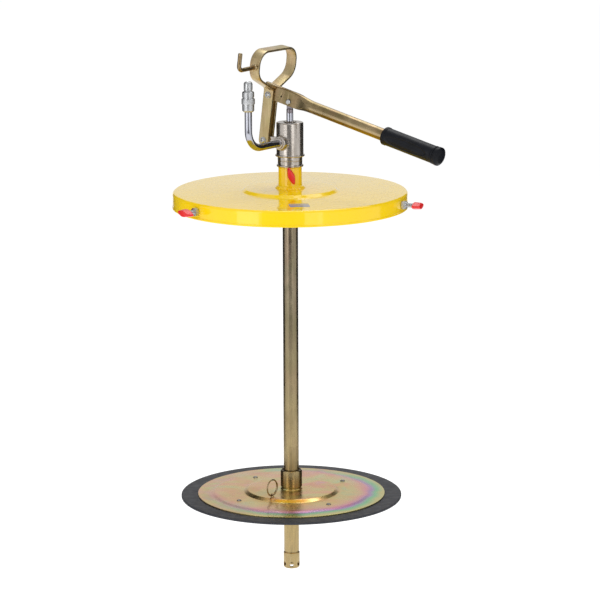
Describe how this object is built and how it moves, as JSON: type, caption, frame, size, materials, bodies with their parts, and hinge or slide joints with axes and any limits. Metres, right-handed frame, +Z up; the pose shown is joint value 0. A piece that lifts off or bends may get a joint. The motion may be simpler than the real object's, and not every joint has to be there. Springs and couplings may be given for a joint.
{
  "type": "drum grease transfer pump",
  "caption": "Hand lever pump that lifts grease out of an open drum through a suction tube, with clamped drum cover, follower plate and upright filler coupling.",
  "frame": {"origin": "pump axis at the underside of the drum cover, where the cover sits on the drum rim", "axes": "+Z up the pump axis, +X along the lever towards the grip, -Y towards the outlet coupling"},
  "size_m": [0.5251, 0.4387, 0.9263],
  "materials": {
    "yellow_paint": "glossy yellow enamel on pressed steel",
    "label": "plain pale blue-grey sticker",
    "zinc": "bright zinc plate",
    "red_plastic": "moulded red plastic",
    "yellow_zinc": "yellow-passivated zinc plate, bronze to olive",
    "plate_zinc": "yellow-passivated zinc plate with iridescent bloom",
    "nickel": "satin nickel plate, turned",
    "chrome": "polished chrome plate",
    "black_plastic": "black moulded plastic, satin",
    "rubber": "moulded nitrile rubber",
    "brass": "turned brass",
    "dark_steel": "hardened steel, oiled"
  },
  "bodies": {
    "cover": {"cover": "yellow_paint", "cover_neck": "yellow_paint", "rim_nuts": "zinc", "neck_nut": "yellow_paint", "cover_label": "label"},
    "pump": {"suction_tube": "yellow_zinc", "pump_head": "nickel", "head_collar": "nickel", "rod_packing": "rubber", "gland_nut": "nickel", "link_bracket": "nickel", "foot_valve": "yellow_zinc", "foot_stop_pin": "dark_steel", "outlet_boss": "nickel", "outlet_pipe": "chrome", "coupling_body": "zinc", "coupling_sleeve": "zinc", "filler_tip": "zinc", "outlet_spring": "zinc"},
    "foot_ball": {"foot_ball": "dark_steel"},
    "outlet_ball": {"outlet_ball": "dark_steel"},
    "piston_ball": {"piston_ball": "dark_steel"},
    "rod": {"piston_rod": "chrome", "rod_eye": "zinc", "eye_pin": "zinc", "eye_clip": "dark_steel", "piston": "brass", "piston_cup": "rubber", "cup_retainer": "dark_steel"},
    "lever": {"lever": "yellow_zinc", "grip": "black_plastic"},
    "link": {"carry_strap": "yellow_zinc", "hook": "yellow_zinc", "fulcrum_bolt": "zinc", "fulcrum_nut": "zinc", "link_bolt": "zinc", "link_nut": "zinc"},
    "follower": {"follower_plate": "plate_zinc", "follower_lip": "rubber", "backing_plate": "plate_zinc", "plate_rivets": "zinc", "follower_collar": "yellow_zinc", "wiper_seal": "rubber", "ring_staple": "yellow_zinc"},
    "pull_ring": {"pull_ring": "yellow_zinc"},
    "rim_screw_1": {"rim_stud_1": "zinc"},
    "rim_screw_2": {"rim_stud_2": "zinc"},
    "rim_screw_3": {"rim_stud_3": "zinc"},
    "neck_screw": {"neck_stud": "zinc"},
    "rim_knob_1": {"rim_wing_1": "red_plastic"},
    "rim_knob_2": {"rim_wing_2": "red_plastic"},
    "rim_knob_3": {"rim_wing_3": "red_plastic"},
    "neck_knob": {"neck_wing": "red_plastic"}
  },
  "joints": [
    {"name": "pump_lift", "type": "slide", "parent": "cover", "child": "pump", "axis": [0, 0, 1], "range_m": [0, 0.12]},
    {"name": "rod_stroke", "type": "slide", "parent": "pump", "child": "rod", "axis": [0, 0, 1], "range_m": [-0.006, 0.031]},
    {"name": "lever_swing", "type": "hinge", "parent": "rod", "child": "lever", "pos_m": [0, 0, 0.1566], "axis": [0, -1, 0], "range_deg": [-8, 42]},
    {"name": "link_swing", "type": "hinge", "parent": "pump", "child": "link", "pos_m": [-0.052, 0, 0.086], "axis": [0, 1, 0], "range_deg": [-0.4, 1.5]},
    {"name": "follower_slide", "type": "slide", "parent": "pump", "child": "follower", "axis": [0, 0, 1], "range_m": [-0.08, 0.34]},
    {"name": "pull_ring_swing", "type": "hinge", "parent": "follower", "child": "pull_ring", "pos_m": [0.0096, -0.0683, -0.529], "axis": [0, 1, 0], "range_deg": [-75, 75]},
    {"name": "foot_valve_lift", "type": "slide", "parent": "pump", "child": "foot_ball", "axis": [0, 0, 1], "range_m": [0, 0.003]},
    {"name": "piston_valve_lift", "type": "slide", "parent": "rod", "child": "piston_ball", "axis": [0, 0, 1], "range_m": [0, 0.004]},
    {"name": "outlet_valve_lift", "type": "slide", "parent": "pump", "child": "outlet_ball", "axis": [0, 0, 1], "range_m": [0, 0.003], "stiffness_N_per_m": 300, "springref_m": -0.002, "deforming": ["outlet_spring"]},
    {"name": "rim_screw_1_travel", "type": "slide", "parent": "cover", "child": "rim_screw_1", "axis": [-0.9588, -0.284, 0], "range_m": [-0.0041, 0.0081]},
    {"name": "rim_knob_1_turn", "type": "hinge", "parent": "rim_screw_1", "child": "rim_knob_1", "pos_m": [0.22532, 0.06674, -0.012], "axis": [-0.9588, -0.284, 0], "range_deg": [-1152, 2304]},
    {"name": "rim_screw_2_travel", "type": "slide", "parent": "cover", "child": "rim_screw_2", "axis": [0.7254, -0.6884, 0], "range_m": [-0.0041, 0.0081]},
    {"name": "rim_knob_2_turn", "type": "hinge", "parent": "rim_screw_2", "child": "rim_knob_2", "pos_m": [-0.17046, 0.16176, -0.012], "axis": [0.7254, -0.6884, 0], "range_deg": [-1152, 2304]},
    {"name": "rim_screw_3_travel", "type": "slide", "parent": "cover", "child": "rim_screw_3", "axis": [0.2334, 0.9724, 0], "range_m": [-0.0041, 0.0081]},
    {"name": "rim_knob_3_turn", "type": "hinge", "parent": "rim_screw_3", "child": "rim_knob_3", "pos_m": [-0.05486, -0.22851, -0.012], "axis": [0.2334, 0.9724, 0], "range_deg": [-1152, 2304]},
    {"name": "neck_screw_travel", "type": "slide", "parent": "cover", "child": "neck_screw", "axis": [-0.6494, 0.7604, 0], "range_m": [-0.0061, 0.0001]},
    {"name": "neck_knob_turn", "type": "hinge", "parent": "neck_screw", "child": "neck_knob", "pos_m": [0.02598, -0.03042, 0.032], "axis": [-0.6494, 0.7604, 0], "range_deg": [-1728, 0]}
  ],
  "couplings": [
    {"joint": "rod_stroke", "follows": "lever_swing", "m_per_rad": 0.0406},
    {"joint": "link_swing", "follows": "lever_swing", "ratio": 0.03},
    {"joint": "rim_screw_1_travel", "follows": "rim_knob_1_turn", "m_per_rad": 0.00019894},
    {"joint": "rim_screw_2_travel", "follows": "rim_knob_2_turn", "m_per_rad": 0.00019894},
    {"joint": "rim_screw_3_travel", "follows": "rim_knob_3_turn", "m_per_rad": 0.00019894},
    {"joint": "neck_screw_travel", "follows": "neck_knob_turn", "m_per_rad": 0.00019894}
  ]
}
